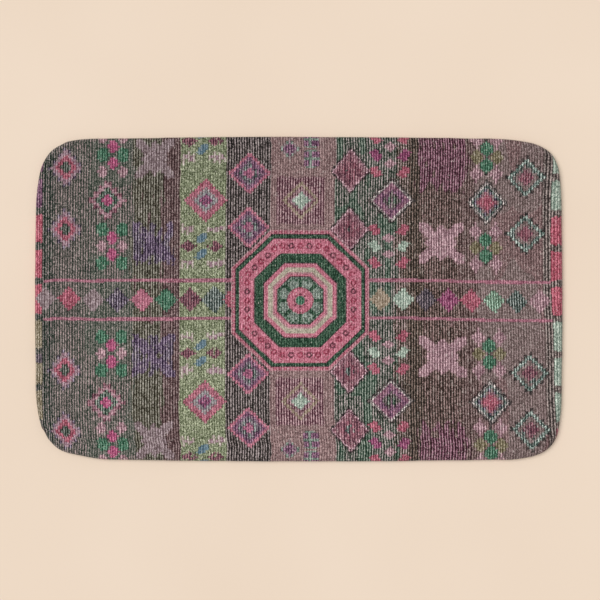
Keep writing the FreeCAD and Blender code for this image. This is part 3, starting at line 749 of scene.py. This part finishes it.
# height: crowned to the edge, with the slow hollows of a foam that has been
# walked on, and a fine unevenness of the pile
inside = np.minimum(HALF_X - np.abs(gx), HALF_Y - np.abs(gy)) - ROLL
corner = np.hypot(np.maximum(np.abs(gx) - 355, 0), np.maximum(np.abs(gy) - 190, 0))
inside = np.minimum(inside, np.where(corner > 0, np.maximum(70 - corner, 0), 99))
rise = 1 - np.exp(-np.maximum(inside, 0) / 9.0)
hollow = (smooth(gx + 700, gy + 700, 130, 110, 211) - 0.5) * 0.50 + (smooth(gx + 700, gy + 700, 46, 52, 212) - 0.5) * 0.22
tufts = (hash01(np.arange(grid[..., 0].size).reshape(gx.shape), 0, 213) - 0.5) * 0.10
gz = TOP + rise * (0.55 + hollow) + tufts * rise

prof = []                                   # (out from the rim, height)
for a in np.linspace(0, 90, 9)[1:]:
    prof.append((ROLL * math.sin(math.radians(a)), (TOP - 6.9) + 6.9 * math.cos(math.radians(a))))
prof.append((ROLL, BELOW + ROLL_UNDER))
for a in np.linspace(0, 90, 7)[1:]:
    prof.append((ROLL - ROLL_UNDER + ROLL_UNDER * math.cos(math.radians(a)),
                 BELOW + ROLL_UNDER - ROLL_UNDER * math.sin(math.radians(a))))
for d in (6.0, 8.0, 10.0, 11.6, 12.6):
    prof.append((ROLL - d, BELOW))
prof += [(ROLL - 13.3, BELOW + 0.12), (ROLL - 13.6, BELOW + 0.42), (ROLL - 13.68, BELOW + 1.0)]

idx, rim_idx = grid_loop(NX, NY)
verts = [np.stack([gx, gy, gz], -1).reshape(-1, 3)]
print_at = [flat.reshape(-1, 2)]
faces = [grid_faces(idx)]
last, length = rim_idx, 0.0
px, pz = 0.0, TOP
base = len(verts[0])
for k, (e, z) in enumerate(prof):
    length += math.hypot(e - px, z - pz)
    px, pz = e, z
    under = max(0.0, (ROLL - e - 3.5) / 9.5) if z < 1.5 else 0.0
    gather = np.maximum(np.sin(run / 5.1 + 2.2 * np.sin(run / 31.0)), -0.4)[:, None] * 0.16 * under
    side_wave = (smooth(run, 0 * run + k, 21, 3.0, 221) - 0.5)[:, None] * 0.30 * (1 - under)
    xy = rim_at + out * (e + side_wave)
    zz = np.full((len(run), 1), z) + np.maximum(gather, -0.05) + (0 if z < 2 else 1) * side_wave * 0.4
    verts.append(np.concatenate([xy, zz], 1))
    print_at.append(rim + out * length)
    now = np.arange(base, base + len(run))
    base += len(run)
    faces.append(band_faces(last, now))
    last = now
verts = np.concatenate(verts)
print_at = np.concatenate(print_at) / THREAD
faces = np.concatenate(faces)

cover = make_mesh("printed_cover", verts * MM, faces)
# the cloth is drawn a little askew over the right end
pu, pv = print_at[:, 0].copy(), print_at[:, 1].copy()
far_end = np.clip((pu - 45) / 30, 0, 1)
print_at[:, 0] += far_end * np.where(pv > 0, 0.9 * np.clip((100 - pu) / 9, 0, 1), 1.05) * np.tanh(pv / 18)
print_at[:, 1] += 0.85 * far_end
yarn = chart(print_at[:, 0], print_at[:, 1])
ones = np.ones((len(yarn), 1))
painted_light_gradient = 1.0 - np.clip(print_at[:, 1:], -28, 62) * 0.00085        # painted light: the print is made lighter towards -Y and darker towards +Y
painted_light_gradient -= 0.045 * np.clip((print_at[:, :1] - 30) / 12, 0, 1) * np.clip(-print_at[:, 1:] / 30, 0, 1)    # painted shade: darker again at the right end of the -Y half
# yarn_light and yarn_dark hold the print's colours times this painted light gradient
add_attr(cover, "yarn_light", "FLOAT_COLOR", np.concatenate([LIGHT[yarn] * painted_light_gradient, ones], 1))
add_attr(cover, "yarn_dark", "FLOAT_COLOR", np.concatenate([DARK[yarn] * painted_light_gradient, ones], 1))
add_attr(cover, "yarn_streak", "FLOAT", STREAK[yarn])
add_attr(cover, "print_at", "FLOAT_VECTOR", np.concatenate([print_at, 0 * ones], 1))
cover.data.materials.append(plush_material())
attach(cover, "root")
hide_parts("top_cover")

# -------------------------------------------------------------- foam core
FX, FY = 108, 66
f_rim, f_out, f_ang, f_run = loop(2.0 + 6.0, (FX, FY))
f_rim = f_rim + f_out * settle(f_ang)[:, None] * 0.9
fg = coons(f_rim, FX, FY)
fx, fy = fg[..., 0], fg[..., 1]
f_idx, f_edge = grid_loop(FX, FY)
f_top = 11.0 - 0.12 + (smooth(fx + 900, fy + 900, 60, 50, 231) - 0.5) * 0.22
fv = [np.stack([fx, fy, f_top], -1).reshape(-1, 3)]
ff = [grid_faces(f_idx)]
f_base, f_last = len(fv[0]), f_edge
steps = [(6 - 5.2 + 5.2 * math.sin(t), 5.8 + 5.1 * math.cos(t)) for t in np.radians([0, 22, 45, 68, 90])]
steps += [(6.0, 4.7)] + [(6 - 2.8 + 2.8 * math.cos(t), 4.6 - 2.8 * math.sin(t)) for t in np.radians([25, 50, 72, 90])]
for e, z in steps:
    fv.append(np.concatenate([f_rim + f_out * e, np.full((len(f_run), 1), z)], 1))
    now = np.arange(f_base, f_base + len(f_run))
    ff.append(band_faces(f_last, now))
    f_base += len(f_run)
    f_last = now
low = coons(f_rim, FX, FY)
low_idx = np.arange((FX + 1) * (FY + 1)).reshape(FX + 1, FY + 1) + f_base
fv.append(np.concatenate([low.reshape(-1, 2), np.full((low_idx.size, 1), 1.8)], 1))
ff.append(grid_faces(low_idx, up=False))
_, low_rim = grid_loop(FX, FY)
ff.append(band_faces(f_last, low_rim + f_base))
foam = make_mesh("foam_slab", np.concatenate(fv) * MM, np.concatenate(ff))
foam.data.materials.append(foam_material())
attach(foam, "root")
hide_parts("foam_core")

# ----------------------------------------------------------- backing cloth
BX, BY = 252, 154
b_rim, b_out, b_ang, b_run = loop(15.6, (BX, BY))
b_rim = b_rim + b_out * settle(b_ang)[:, None]
bg = coons(b_rim, BX, BY)
bx, by = bg[..., 0], bg[..., 1]
b_in = np.minimum(HALF_X - 15.6 - np.abs(bx), HALF_Y - 15.6 - np.abs(by))
b_corner = np.hypot(np.maximum(np.abs(bx) - 355, 0), np.maximum(np.abs(by) - 190, 0))
b_in = np.maximum(np.minimum(b_in, np.where(b_corner > 0, np.maximum(62 - b_corner, 0), 99)), 0)
near_x = np.abs(((bx / 40 + 0.5) % 1) - 0.5) * 40
near_y = np.abs(((by / 40 + 0.5) % 1) - 0.5) * 40
free = np.clip((np.hypot(near_x, near_y) - 6) / 8, 0, 1)
along_edge = np.arctan2(by, bx) * 300
pucker = np.maximum(np.sin(along_edge / 4.2), 0) * np.exp(-b_in / 5.0) * 0.22
slack = (smooth(bx + 800, by + 800, 17, 19, 241)) * 0.16 * free
bz = 1.0 + (pucker + slack) * np.clip(b_in / 2.0, 0, 1)
b_idx, b_edge = grid_loop(BX, BY)
bv = [np.stack([bx, by, bz], -1).reshape(-1, 3)]
bf = [grid_faces(b_idx, up=False)]
b_base, b_last = len(bv[0]), b_edge
for e, z in ((0.9, 0.99), (1.45, 1.02), (1.75, 1.15), (1.88, 1.38), (1.92, 1.65)):
    wav = np.maximum(np.sin(b_run / 3.3), 0)[:, None] * 0.06
    bv.append(np.concatenate([b_rim + b_out * e, z + wav], 1))
    now = np.arange(b_base, b_base + len(b_run))
    bf.append(band_faces(b_last, now)[:, ::-1])
    b_base += len(b_run)
    b_last = now
backing = make_mesh("backing_sheet", np.concatenate(bv) * MM, np.concatenate(bf))
backing.data.materials.append(cloth_material("backing_weave", rgb(186, 180, 172), rgb(136, 130, 123), 0.0011, bump=0.6,
                                             sheen=0.08, slub=0.6))
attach(backing, "root")
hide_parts("backing_cloth")

# ---------------------------------------------------------------- grip dots
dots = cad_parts["grip_dots"]
pvc = dot_material()
for k in range(max(1, len(dots.material_slots))):
    if k < len(dots.material_slots):
        dots.material_slots[k].material = pvc
    else:
        dots.data.materials.append(pvc)


# ----------------------------------------------------------------- stitches
def stitches(name, marks, radius, lean, reach, dip, mat):
    """Short lengths of thread, each rising out of the cloth, crossing the
    seam and going down again. marks are (x, y, outward x, outward y)."""
    rings, sides = 9, 7
    t = np.linspace(0, 1, rings)
    verts, faces, twist = [], [], []
    for m, (x, y, ox, oy) in enumerate(marks):
        tx, ty = -oy, ox
        slip = (hash01(m, 1, 301) - 0.5) * 0.5
        grow = 1 + (hash01(m, 2, 302) - 0.5) * 0.18
        e = (t - 0.5) * reach * grow
        s = (t - 0.5) * (lean + slip)
        h = BELOW + 0.30 - (dip + 0.30) * np.sin(math.pi * t) ** 0.55
        line = np.stack([x + ox * e + tx * s, y + oy * e + ty * s, h], 1)
        d = np.gradient(line, axis=0)
        d /= np.linalg.norm(d, axis=1)[:, None]
        across = np.cross(d, [0, 0, 1.0])
        across /= np.linalg.norm(across, axis=1)[:, None]
        up = np.cross(across, d)
        r = radius * np.where((t == 0) | (t == 1), 0.55, 1.0)
        n0 = len(verts)
        for k in range(rings):
            for q in range(sides):
                a = 2 * math.pi * q / sides
                verts.append(line[k] + r[k] * (across[k] * math.cos(a) + up[k] * math.sin(a)))
                twist.append(a * 2 + t[k] * reach * 5.2)
        for k in range(rings - 1):
            for q in range(sides):
                q1 = (q + 1) % sides
                a0 = n0 + k * sides
                faces.append((a0 + q, a0 + sides + q, a0 + sides + q1, a0 + q1))
        for k, flip in ((0, True), (rings - 1, False)):
            c = len(verts)
            verts.append(line[k])
            twist.append(0.0)
            a0 = n0 + k * sides
            for q in range(sides):
                q1 = (q + 1) % sides
                faces.append((a0 + q, a0 + q1, c, c) if flip else (a0 + q1, a0 + q, c, c))
    me = bpy.data.meshes.new(name)
    me.from_pydata([tuple(v * MM) for v in verts], [], [f[:3] if f[2] == f[3] else f for f in faces])
    me.polygons.foreach_set("use_smooth", np.ones(len(me.polygons), bool))
    me.update()
    ob = bpy.data.objects.new(name, me)
    bpy.context.scene.collection.objects.link(ob)
    add_attr(ob, "twist", "FLOAT", np.array(twist))
    me.materials.append(mat)
    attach(ob, "root")
    return ob


def seam_marks(pitch, keep):
    p, o, a, r = loop(13.55, (1600, 980))
    p = p + o * settle(a)[:, None]
    step = np.hypot(*(np.roll(p, -1, 0) - p).T)
    s = np.concatenate([[0], np.cumsum(step)[:-1]])
    count = int(step.sum() / pitch)
    marks = []
    for k in range(count):
        j = int(np.searchsorted(s, (k + 0.5) * step.sum() / count)) % len(p)
        if keep(p[j]):
            marks.append((p[j][0], p[j][1], o[j][0], o[j][1]))
    return marks


in_gap = lambda q: q[1] < 0 and abs(q[0]) < 90.0
seam = stitches("seam_stitches", seam_marks(3.3, lambda q: not in_gap(q)), 0.20, 0.9, 2.6, 0.10,
                thread_material("seam_thread", rgb(150, 140, 135), rgb(92, 84, 80)))
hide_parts("perimeter_stitching")
hand = stitches("closing_stitches", seam_marks(4.6, in_gap), 0.23, 2.4, 2.9, 0.12,
                thread_material("closing_thread", rgb(172, 162, 156), rgb(112, 102, 96)))
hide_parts("closing_stitching")

# --------------------------------------------------------------- care label
lo, hi = (np.array(p) * 1000 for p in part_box("care_label"))
LW, LL = 20, 30
prof = []
for t in np.linspace(0, 1, LL + 1):
    prof.append((lo[1] - 0.8 + t * (hi[1] - lo[1] + 0.2), 0.93 - 0.02 * math.sin(t * 5)))
cy, cz = prof[-1][0], 0.80
for a in np.radians([60, 30, 0, -30, -60, -90]):
    prof.append((cy + 0.35 * math.cos(a), cz + 0.13 * math.sin(a)))
for t in np.linspace(1, 0, LL + 1)[1:]:
    prof.append((lo[1] - 0.8 + t * (hi[1] - lo[1] + 0.2), 0.67 + 0.03 * math.sin(t * 4 + 1)))
prof = np.array(prof)
us = np.linspace(lo[0], hi[0], LW + 1)
lv = np.zeros((LW + 1, len(prof), 3))
lv[..., 0] = us[:, None] + 0.15 * np.sin(prof[None, :, 0] / 9.0)
# the cut ends turn up into the seam, between the hem and the backing
lp, lo_out, la, _ = loop(14.1, (1600, 980))
lp = lp + lo_out * settle(la)[:, None]
lp = lp[(lp[:, 1] < 0) & (np.abs(lp[:, 0] - us.mean()) < 40)]
lp = lp[np.argsort(lp[:, 0])]
caught = np.interp(us, lp[:, 0], lp[:, 1])[:, None]
far_end = prof[:, 0].max()
lv[..., 1] = far_end + (prof[None, :, 0] - far_end) * (far_end - caught) / (far_end - prof[0, 0])
lv[..., 2] = prof[None, :, 1] + 0.035 * np.sin(us[:, None] / 3.1 + prof[None, :, 0] / 7.0)
lv[..., 2] += 0.42 * np.exp(-(lv[..., 1] - caught) / 0.7)
label = make_mesh("folded_label", lv.reshape(-1, 3) * MM,
                  grid_faces(np.arange(lv[..., 0].size).reshape(LW + 1, len(prof))[:, ::-1]))
label.data.materials.append(cloth_material("label_satin", rgb(240, 238, 232), rgb(214, 211, 204), 0.0005, bump=0.35,
                                           sheen=0.2, spec=0.45, slub=0.3, depth=0.0001))
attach(label, "root")
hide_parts("care_label")

# ------------------------------------------------------------------- stage
floor_me = bpy.data.meshes.new("floor")
floor_me.from_pydata([(-9, -9, 0), (9, -9, 0), (9, 9, 0), (-9, 9, 0)], [], [(0, 1, 2, 3)])
floor = bpy.data.objects.new("floor", floor_me)
bpy.context.scene.collection.objects.link(floor)
n = Nodes("floor_plain")
tone = n.noise(n.coords(), 2.2, 2.0)
n.set(Base_Color=n.mix(n.fit(tone, 0.3, 0.7, 0, 1), rgb(236, 216, 196), rgb(240, 221, 202)),
      Roughness=n.fit(tone, 0.3, 0.7, 0.62, 0.7))
n.bsdf.inputs["Specular IOR Level"].default_value = 0.1
floor_me.materials.append(n.mat)

world = bpy.data.worlds.new("studio")
world.use_nodes = True
world.node_tree.nodes["Background"].inputs[0].default_value = (1.0, 0.995, 0.985, 1.0)
world.node_tree.nodes["Background"].inputs[1].default_value = 0.38
bpy.context.scene.world = world

sun = bpy.data.lights.new("key", "SUN")
sun.energy = 2.16
sun.angle = math.radians(50)
sun.color = (1.0, 0.99, 0.975)
key = bpy.data.objects.new("key", sun)
bpy.context.scene.collection.objects.link(key)
key.rotation_euler = (math.radians(-8), math.radians(-25), 0)

cam = bpy.data.cameras.new("camera")
cam.sensor_width = 36.0
cam.clip_end = 60
camera = bpy.data.objects.new("camera", cam)
bpy.context.scene.collection.objects.link(camera)
far = 2.6
camera.location = (0.0025, -0.0016, far + 0.008)
cam.lens = 36.0 * far / 0.984
bpy.context.scene.camera = camera

view = bpy.context.scene.view_settings
view.view_transform = "Standard"
view.look = "None"
view.exposure = 0.0
view.gamma = 1.0
